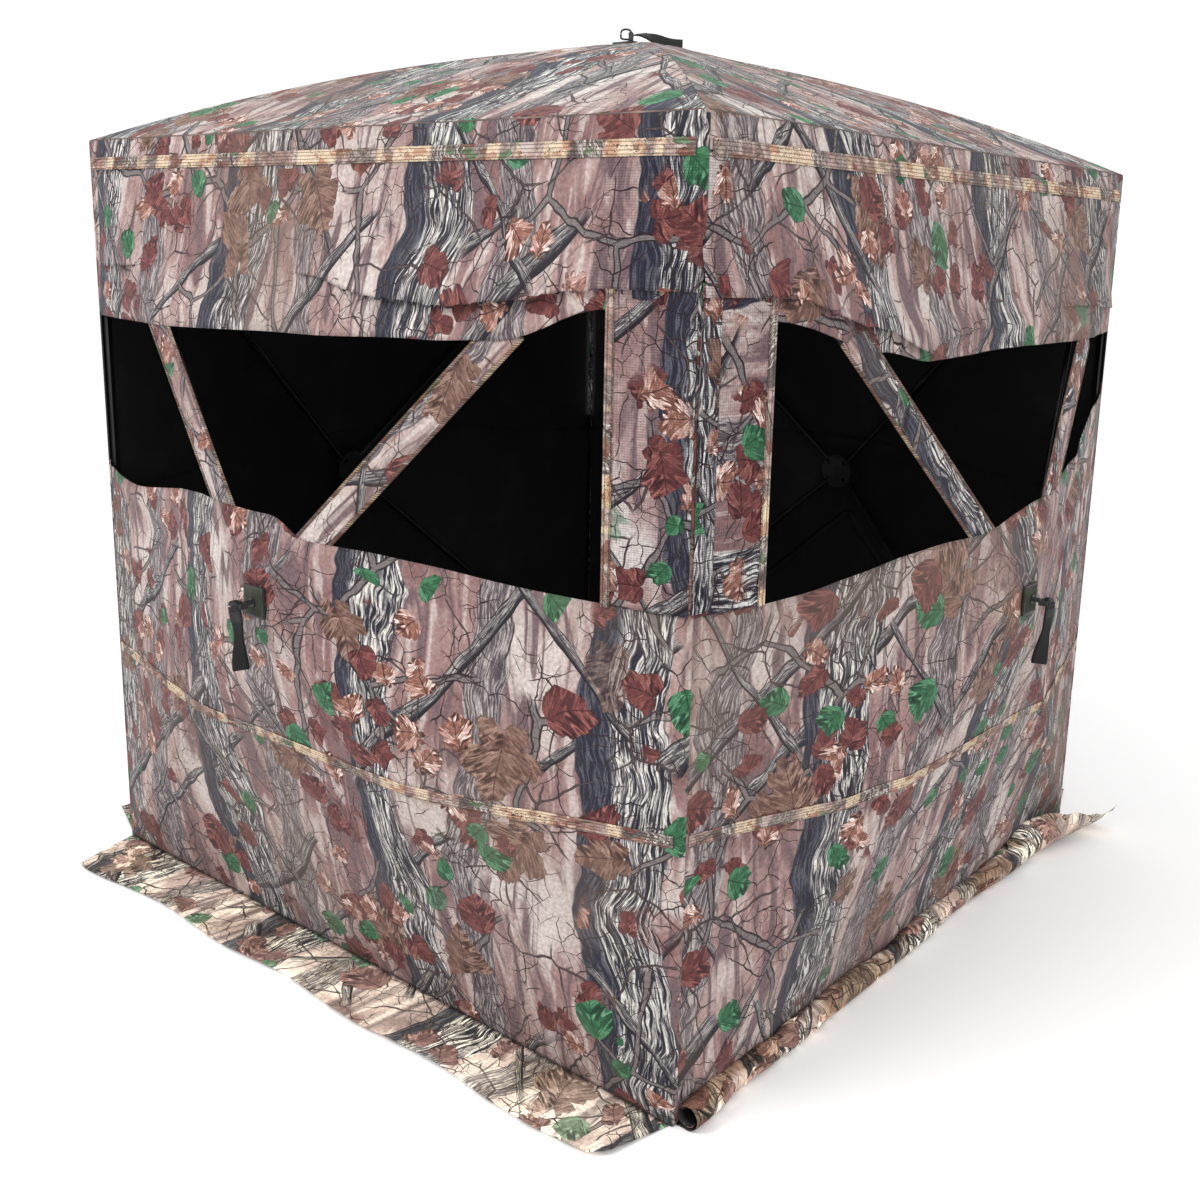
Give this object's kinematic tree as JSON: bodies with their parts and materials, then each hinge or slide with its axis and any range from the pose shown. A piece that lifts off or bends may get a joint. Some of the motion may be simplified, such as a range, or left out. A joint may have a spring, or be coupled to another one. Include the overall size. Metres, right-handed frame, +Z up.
{
  "type": "pop up ground blind",
  "caption": "Square hub-style pop up ground blind: bulged camouflage walls with window openings, a low domed roof, folding pole hubs, pull straps, a zip door and a ground skirt.",
  "frame": {"origin": "on the ground at the centre of the footprint", "axes": "+Z up; -Y out of the front wall, +X out of the right wall, seen from outside in front"},
  "size_m": [1.937, 1.937, 1.7095],
  "materials": {
    "camo_cloth": "matte",
    "skirt_cloth": "matte",
    "camo_mesh": "matte",
    "seam_tape": "matte",
    "binding_tape": "matte",
    "black_webbing": "matte",
    "black_lining": "matte",
    "black_fibreglass": "satin",
    "moulded_nylon": "satin",
    "zinc_slider": "satin"
  },
  "bodies": {
    "root": {"top_corner_fittings": "moulded_nylon", "bottom_corner_fittings": "moulded_nylon", "eave_piping": "seam_tape", "corner_tapes": "seam_tape", "ground_skirt": "skirt_cloth"},
    "hub_front": {"hub_front": "moulded_nylon"},
    "pole_front_lower_left": {"pole_front_lower_left": "black_fibreglass"},
    "pole_front_lower_right": {"pole_front_lower_right": "black_fibreglass"},
    "pole_front_upper_left": {"pole_front_upper_left": "black_fibreglass"},
    "pole_front_upper_right": {"pole_front_upper_right": "black_fibreglass"},
    "wall_front_bottom": {"wall_front_bottom": "camo_cloth"},
    "wall_front_top": {"wall_front_top": "camo_cloth"},
    "wall_front_left": {"wall_front_left": "camo_cloth"},
    "wall_front_right": {"wall_front_right": "camo_cloth", "corner_panel_front": "camo_mesh"},
    "pull_strap_front": {"pull_strap_front": "black_webbing"},
    "hub_right": {"hub_right": "moulded_nylon"},
    "pole_right_lower_left": {"pole_right_lower_left": "black_fibreglass"},
    "pole_right_lower_right": {"pole_right_lower_right": "black_fibreglass"},
    "pole_right_upper_left": {"pole_right_upper_left": "black_fibreglass"},
    "pole_right_upper_right": {"pole_right_upper_right": "black_fibreglass"},
    "wall_right_bottom": {"wall_right_bottom": "camo_cloth"},
    "wall_right_top": {"wall_right_top": "camo_cloth"},
    "wall_right_left": {"wall_right_left": "camo_cloth", "corner_panel_right": "camo_mesh"},
    "wall_right_right": {"wall_right_right": "camo_cloth"},
    "pull_strap_right": {"pull_strap_right": "black_webbing"},
    "hub_back": {"hub_back": "moulded_nylon"},
    "pole_back_lower_left": {"pole_back_lower_left": "black_fibreglass"},
    "pole_back_lower_right": {"pole_back_lower_right": "black_fibreglass"},
    "pole_back_upper_left": {"pole_back_upper_left": "black_fibreglass"},
    "pole_back_upper_right": {"pole_back_upper_right": "black_fibreglass"},
    "wall_back_bottom": {"wall_back_bottom": "camo_cloth"},
    "wall_back_top": {"wall_back_top": "camo_cloth"},
    "wall_back_left": {"wall_back_left": "camo_cloth"},
    "wall_back_right": {"wall_back_right": "camo_cloth"},
    "pull_strap_back": {"pull_strap_back": "black_webbing"},
    "hub_left": {"hub_left": "moulded_nylon"},
    "pole_left_lower_left": {"pole_left_lower_left": "black_fibreglass"},
    "pole_left_lower_right": {"pole_left_lower_right": "black_fibreglass"},
    "pole_left_upper_left": {"pole_left_upper_left": "black_fibreglass"},
    "pole_left_upper_right": {"pole_left_upper_right": "black_fibreglass"},
    "wall_left_bottom": {"wall_left_bottom": "camo_cloth"},
    "wall_left_top": {"wall_left_top": "camo_cloth"},
    "wall_left_left": {"wall_left_left": "camo_cloth"},
    "wall_left_right": {"wall_left_right": "camo_cloth"},
    "pull_strap_left": {"pull_strap_left": "black_webbing"},
    "hub_roof": {"hub_roof": "moulded_nylon"},
    "roof_pole_front_right": {"roof_pole_front_right": "black_fibreglass"},
    "roof_pole_back_right": {"roof_pole_back_right": "black_fibreglass"},
    "roof_pole_back_left": {"roof_pole_back_left": "black_fibreglass"},
    "roof_pole_front_left": {"roof_pole_front_left": "black_fibreglass"},
    "roof_gore_front": {"roof_gore_front": "camo_cloth"},
    "roof_gore_right": {"roof_gore_right": "camo_cloth"},
    "roof_gore_back": {"roof_gore_back": "camo_cloth"},
    "roof_gore_left": {"roof_gore_left": "camo_cloth"},
    "pull_strap_roof": {"pull_strap_roof": "black_webbing"},
    "door_flap": {"door_flap": "camo_cloth"},
    "door_zip_slider": {"door_zip_slider": "zinc_slider"}
  },
  "joints": [
    {"name": "front_hub_slide", "type": "slide", "parent": "root", "child": "hub_front", "axis": [0, 1, 0], "range_m": [0, 0.354]},
    {"name": "pole_front_lower_left_pin", "type": "hinge", "parent": "hub_front", "child": "pole_front_lower_left", "pos_m": [-0.02542, -0.911, 0.68594], "axis": [0.6875, 0, -0.7262], "range_deg": [-22.42, 0.5]},
    {"name": "pole_front_lower_right_pin", "type": "hinge", "parent": "hub_front", "child": "pole_front_lower_right", "pos_m": [0.02542, -0.911, 0.68594], "axis": [0.6875, 0, 0.7262], "range_deg": [-22.42, 0.5]},
    {"name": "pole_front_upper_left_pin", "type": "hinge", "parent": "hub_front", "child": "pole_front_upper_left", "pos_m": [-0.02467, -0.911, 0.73483], "axis": [-0.7095, 0, -0.7048], "range_deg": [-21.74, 0.5]},
    {"name": "pole_front_upper_right_pin", "type": "hinge", "parent": "hub_front", "child": "pole_front_upper_right", "pos_m": [0.02467, -0.911, 0.73483], "axis": [-0.7095, 0, 0.7048], "range_deg": [-21.74, 0.5]},
    {"name": "wall_front_bottom_fold", "type": "hinge", "parent": "root", "child": "wall_front_bottom", "pos_m": [0, -0.75, 0], "axis": [1, 0, 0], "range_deg": [-28.5, 0.5]},
    {"name": "wall_front_top_fold", "type": "hinge", "parent": "root", "child": "wall_front_top", "pos_m": [0, -0.75, 1.465], "axis": [1, 0, 0], "range_deg": [-0.5, 26.89]},
    {"name": "wall_front_left_fold", "type": "hinge", "parent": "root", "child": "wall_front_left", "pos_m": [-0.75, -0.75, 0.71], "axis": [0, 0, 1], "range_deg": [-0.5, 27.06]},
    {"name": "wall_front_right_fold", "type": "hinge", "parent": "root", "child": "wall_front_right", "pos_m": [0.75, -0.75, 0.71], "axis": [0, 0, 1], "range_deg": [-27.06, 0.5]},
    {"name": "pull_strap_front_swing", "type": "hinge", "parent": "hub_front", "child": "pull_strap_front", "pos_m": [0, -0.963, 0.71], "axis": [-1, 0, 0], "range_deg": [0, 150]},
    {"name": "right_hub_slide", "type": "slide", "parent": "root", "child": "hub_right", "axis": [-1, 0, 0], "range_m": [0, 0.354]},
    {"name": "pole_right_lower_left_pin", "type": "hinge", "parent": "hub_right", "child": "pole_right_lower_left", "pos_m": [0.911, -0.02542, 0.68594], "axis": [0, 0.6875, -0.7262], "range_deg": [-22.42, 0.5]},
    {"name": "pole_right_lower_right_pin", "type": "hinge", "parent": "hub_right", "child": "pole_right_lower_right", "pos_m": [0.911, 0.02542, 0.68594], "axis": [0, 0.6875, 0.7262], "range_deg": [-22.42, 0.5]},
    {"name": "pole_right_upper_left_pin", "type": "hinge", "parent": "hub_right", "child": "pole_right_upper_left", "pos_m": [0.911, -0.02467, 0.73483], "axis": [0, -0.7095, -0.7048], "range_deg": [-21.74, 0.5]},
    {"name": "pole_right_upper_right_pin", "type": "hinge", "parent": "hub_right", "child": "pole_right_upper_right", "pos_m": [0.911, 0.02467, 0.73483], "axis": [0, -0.7095, 0.7048], "range_deg": [-21.74, 0.5]},
    {"name": "wall_right_bottom_fold", "type": "hinge", "parent": "root", "child": "wall_right_bottom", "pos_m": [0.75, 0, 0], "axis": [0, 1, 0], "range_deg": [-28.5, 0.5]},
    {"name": "wall_right_top_fold", "type": "hinge", "parent": "root", "child": "wall_right_top", "pos_m": [0.75, 0, 1.465], "axis": [0, 1, 0], "range_deg": [-0.5, 26.89]},
    {"name": "wall_right_left_fold", "type": "hinge", "parent": "root", "child": "wall_right_left", "pos_m": [0.75, -0.75, 0.71], "axis": [0, 0, 1], "range_deg": [-0.5, 27.06]},
    {"name": "wall_right_right_fold", "type": "hinge", "parent": "root", "child": "wall_right_right", "pos_m": [0.75, 0.75, 0.71], "axis": [0, 0, 1], "range_deg": [-27.06, 0.5]},
    {"name": "pull_strap_right_swing", "type": "hinge", "parent": "hub_right", "child": "pull_strap_right", "pos_m": [0.963, 0, 0.71], "axis": [0, -1, 0], "range_deg": [0, 150]},
    {"name": "back_hub_slide", "type": "slide", "parent": "root", "child": "hub_back", "axis": [0, -1, 0], "range_m": [0, 0.354]},
    {"name": "pole_back_lower_left_pin", "type": "hinge", "parent": "hub_back", "child": "pole_back_lower_left", "pos_m": [0.02542, 0.911, 0.68594], "axis": [-0.6875, 0, -0.7262], "range_deg": [-22.42, 0.5]},
    {"name": "pole_back_lower_right_pin", "type": "hinge", "parent": "hub_back", "child": "pole_back_lower_right", "pos_m": [-0.02542, 0.911, 0.68594], "axis": [-0.6875, 0, 0.7262], "range_deg": [-22.42, 0.5]},
    {"name": "pole_back_upper_left_pin", "type": "hinge", "parent": "hub_back", "child": "pole_back_upper_left", "pos_m": [0.02467, 0.911, 0.73483], "axis": [0.7095, 0, -0.7048], "range_deg": [-21.74, 0.5]},
    {"name": "pole_back_upper_right_pin", "type": "hinge", "parent": "hub_back", "child": "pole_back_upper_right", "pos_m": [-0.02467, 0.911, 0.73483], "axis": [0.7095, 0, 0.7048], "range_deg": [-21.74, 0.5]},
    {"name": "wall_back_bottom_fold", "type": "hinge", "parent": "root", "child": "wall_back_bottom", "pos_m": [0, 0.75, 0], "axis": [-1, 0, 0], "range_deg": [-28.5, 0.5]},
    {"name": "wall_back_top_fold", "type": "hinge", "parent": "root", "child": "wall_back_top", "pos_m": [0, 0.75, 1.465], "axis": [-1, 0, 0], "range_deg": [-0.5, 26.89]},
    {"name": "wall_back_left_fold", "type": "hinge", "parent": "root", "child": "wall_back_left", "pos_m": [0.75, 0.75, 0.71], "axis": [0, 0, 1], "range_deg": [-0.5, 27.06]},
    {"name": "wall_back_right_fold", "type": "hinge", "parent": "root", "child": "wall_back_right", "pos_m": [-0.75, 0.75, 0.71], "axis": [0, 0, 1], "range_deg": [-27.06, 0.5]},
    {"name": "pull_strap_back_swing", "type": "hinge", "parent": "hub_back", "child": "pull_strap_back", "pos_m": [0, 0.963, 0.71], "axis": [1, 0, 0], "range_deg": [0, 150]},
    {"name": "left_hub_slide", "type": "slide", "parent": "root", "child": "hub_left", "axis": [1, 0, 0], "range_m": [0, 0.354]},
    {"name": "pole_left_lower_left_pin", "type": "hinge", "parent": "hub_left", "child": "pole_left_lower_left", "pos_m": [-0.911, 0.02542, 0.68594], "axis": [0, -0.6875, -0.7262], "range_deg": [-22.42, 0.5]},
    {"name": "pole_left_lower_right_pin", "type": "hinge", "parent": "hub_left", "child": "pole_left_lower_right", "pos_m": [-0.911, -0.02542, 0.68594], "axis": [0, -0.6875, 0.7262], "range_deg": [-22.42, 0.5]},
    {"name": "pole_left_upper_left_pin", "type": "hinge", "parent": "hub_left", "child": "pole_left_upper_left", "pos_m": [-0.911, 0.02467, 0.73483], "axis": [0, 0.7095, -0.7048], "range_deg": [-21.74, 0.5]},
    {"name": "pole_left_upper_right_pin", "type": "hinge", "parent": "hub_left", "child": "pole_left_upper_right", "pos_m": [-0.911, -0.02467, 0.73483], "axis": [0, 0.7095, 0.7048], "range_deg": [-21.74, 0.5]},
    {"name": "wall_left_bottom_fold", "type": "hinge", "parent": "root", "child": "wall_left_bottom", "pos_m": [-0.75, 0, 0], "axis": [0, -1, 0], "range_deg": [-28.5, 0.5]},
    {"name": "wall_left_top_fold", "type": "hinge", "parent": "root", "child": "wall_left_top", "pos_m": [-0.75, 0, 1.465], "axis": [0, -1, 0], "range_deg": [-0.5, 26.89]},
    {"name": "wall_left_left_fold", "type": "hinge", "parent": "root", "child": "wall_left_left", "pos_m": [-0.75, 0.75, 0.71], "axis": [0, 0, 1], "range_deg": [-0.5, 27.06]},
    {"name": "wall_left_right_fold", "type": "hinge", "parent": "root", "child": "wall_left_right", "pos_m": [-0.75, -0.75, 0.71], "axis": [0, 0, 1], "range_deg": [-27.06, 0.5]},
    {"name": "pull_strap_left_swing", "type": "hinge", "parent": "hub_left", "child": "pull_strap_left", "pos_m": [-0.963, 0, 0.71], "axis": [0, 1, 0], "range_deg": [0, 150]},
    {"name": "roof_hub_slide", "type": "slide", "parent": "root", "child": "hub_roof", "axis": [0, 0, -1], "range_m": [0, 0.438]},
    {"name": "roof_pole_front_right_pin", "type": "hinge", "parent": "hub_roof", "child": "roof_pole_front_right", "pos_m": [0.02475, -0.02475, 1.668], "axis": [0.7071, 0.7071, 0], "range_deg": [-27, 0.5]},
    {"name": "roof_pole_back_right_pin", "type": "hinge", "parent": "hub_roof", "child": "roof_pole_back_right", "pos_m": [0.02475, 0.02475, 1.668], "axis": [-0.7071, 0.7071, 0], "range_deg": [-27, 0.5]},
    {"name": "roof_pole_back_left_pin", "type": "hinge", "parent": "hub_roof", "child": "roof_pole_back_left", "pos_m": [-0.02475, 0.02475, 1.668], "axis": [-0.7071, -0.7071, 0], "range_deg": [-27, 0.5]},
    {"name": "roof_pole_front_left_pin", "type": "hinge", "parent": "hub_roof", "child": "roof_pole_front_left", "pos_m": [-0.02475, -0.02475, 1.668], "axis": [0.7071, -0.7071, 0], "range_deg": [-27, 0.5]},
    {"name": "roof_gore_front_fold", "type": "hinge", "parent": "root", "child": "roof_gore_front", "pos_m": [0, -0.75, 1.465], "axis": [1, 0, 0], "range_deg": [-33.06, 0.5]},
    {"name": "roof_gore_right_fold", "type": "hinge", "parent": "root", "child": "roof_gore_right", "pos_m": [0.75, 0, 1.465], "axis": [0, 1, 0], "range_deg": [-33.06, 0.5]},
    {"name": "roof_gore_back_fold", "type": "hinge", "parent": "root", "child": "roof_gore_back", "pos_m": [0, 0.75, 1.465], "axis": [-1, 0, 0], "range_deg": [-33.06, 0.5]},
    {"name": "roof_gore_left_fold", "type": "hinge", "parent": "root", "child": "roof_gore_left", "pos_m": [-0.75, 0, 1.465], "axis": [0, -1, 0], "range_deg": [-33.06, 0.5]},
    {"name": "pull_strap_roof_lift", "type": "hinge", "parent": "hub_roof", "child": "pull_strap_roof", "pos_m": [0, 0, 1.704], "axis": [0.6157, -0.788, 0], "range_deg": [-0.5, 38.5]},
    {"name": "door_fold", "type": "hinge", "parent": "wall_back_bottom", "child": "door_flap", "pos_m": [0.33428, 0.8329, 0.33255], "axis": [0.7158, -0.1689, -0.6776], "range_deg": [0, 100]},
    {"name": "door_zip", "type": "slide", "parent": "wall_back_bottom", "child": "door_zip_slider", "axis": [0.7158, 0.1689, 0.6776], "range_m": [0, 0.744]}
  ],
  "couplings": [
    {"joint": "pole_front_lower_left_pin", "follows": "front_hub_slide", "rad_per_m": -1.0809},
    {"joint": "pole_front_lower_right_pin", "follows": "front_hub_slide", "rad_per_m": -1.0809},
    {"joint": "pole_front_upper_left_pin", "follows": "front_hub_slide", "rad_per_m": -1.0474},
    {"joint": "pole_front_upper_right_pin", "follows": "front_hub_slide", "rad_per_m": -1.0474},
    {"joint": "wall_front_bottom_fold", "follows": "front_hub_slide", "rad_per_m": -1.3803},
    {"joint": "wall_front_top_fold", "follows": "front_hub_slide", "rad_per_m": 1.301},
    {"joint": "wall_front_left_fold", "follows": "front_hub_slide", "rad_per_m": 1.3094},
    {"joint": "wall_front_right_fold", "follows": "front_hub_slide", "rad_per_m": -1.3094},
    {"joint": "pole_right_lower_left_pin", "follows": "right_hub_slide", "rad_per_m": -1.0809},
    {"joint": "pole_right_lower_right_pin", "follows": "right_hub_slide", "rad_per_m": -1.0809},
    {"joint": "pole_right_upper_left_pin", "follows": "right_hub_slide", "rad_per_m": -1.0474},
    {"joint": "pole_right_upper_right_pin", "follows": "right_hub_slide", "rad_per_m": -1.0474},
    {"joint": "wall_right_bottom_fold", "follows": "right_hub_slide", "rad_per_m": -1.3803},
    {"joint": "wall_right_top_fold", "follows": "right_hub_slide", "rad_per_m": 1.301},
    {"joint": "wall_right_left_fold", "follows": "right_hub_slide", "rad_per_m": 1.3094},
    {"joint": "wall_right_right_fold", "follows": "right_hub_slide", "rad_per_m": -1.3094},
    {"joint": "pole_back_lower_left_pin", "follows": "back_hub_slide", "rad_per_m": -1.0809},
    {"joint": "pole_back_lower_right_pin", "follows": "back_hub_slide", "rad_per_m": -1.0809},
    {"joint": "pole_back_upper_left_pin", "follows": "back_hub_slide", "rad_per_m": -1.0474},
    {"joint": "pole_back_upper_right_pin", "follows": "back_hub_slide", "rad_per_m": -1.0474},
    {"joint": "wall_back_bottom_fold", "follows": "back_hub_slide", "rad_per_m": -1.3803},
    {"joint": "wall_back_top_fold", "follows": "back_hub_slide", "rad_per_m": 1.301},
    {"joint": "wall_back_left_fold", "follows": "back_hub_slide", "rad_per_m": 1.3094},
    {"joint": "wall_back_right_fold", "follows": "back_hub_slide", "rad_per_m": -1.3094},
    {"joint": "pole_left_lower_left_pin", "follows": "left_hub_slide", "rad_per_m": -1.0809},
    {"joint": "pole_left_lower_right_pin", "follows": "left_hub_slide", "rad_per_m": -1.0809},
    {"joint": "pole_left_upper_left_pin", "follows": "left_hub_slide", "rad_per_m": -1.0474},
    {"joint": "pole_left_upper_right_pin", "follows": "left_hub_slide", "rad_per_m": -1.0474},
    {"joint": "wall_left_bottom_fold", "follows": "left_hub_slide", "rad_per_m": -1.3803},
    {"joint": "wall_left_top_fold", "follows": "left_hub_slide", "rad_per_m": 1.301},
    {"joint": "wall_left_left_fold", "follows": "left_hub_slide", "rad_per_m": 1.3094},
    {"joint": "wall_left_right_fold", "follows": "left_hub_slide", "rad_per_m": -1.3094},
    {"joint": "roof_pole_front_right_pin", "follows": "roof_hub_slide", "rad_per_m": -1.0558},
    {"joint": "roof_pole_back_right_pin", "follows": "roof_hub_slide", "rad_per_m": -1.0558},
    {"joint": "roof_pole_back_left_pin", "follows": "roof_hub_slide", "rad_per_m": -1.0558},
    {"joint": "roof_pole_front_left_pin", "follows": "roof_hub_slide", "rad_per_m": -1.0558},
    {"joint": "roof_gore_front_fold", "follows": "roof_hub_slide", "rad_per_m": -1.2973},
    {"joint": "roof_gore_right_fold", "follows": "roof_hub_slide", "rad_per_m": -1.2973},
    {"joint": "roof_gore_back_fold", "follows": "roof_hub_slide", "rad_per_m": -1.2973},
    {"joint": "roof_gore_left_fold", "follows": "roof_hub_slide", "rad_per_m": -1.2973},
    {"joint": "pull_strap_roof_lift", "follows": "roof_hub_slide", "rad_per_m": 1.5142}
  ]
}
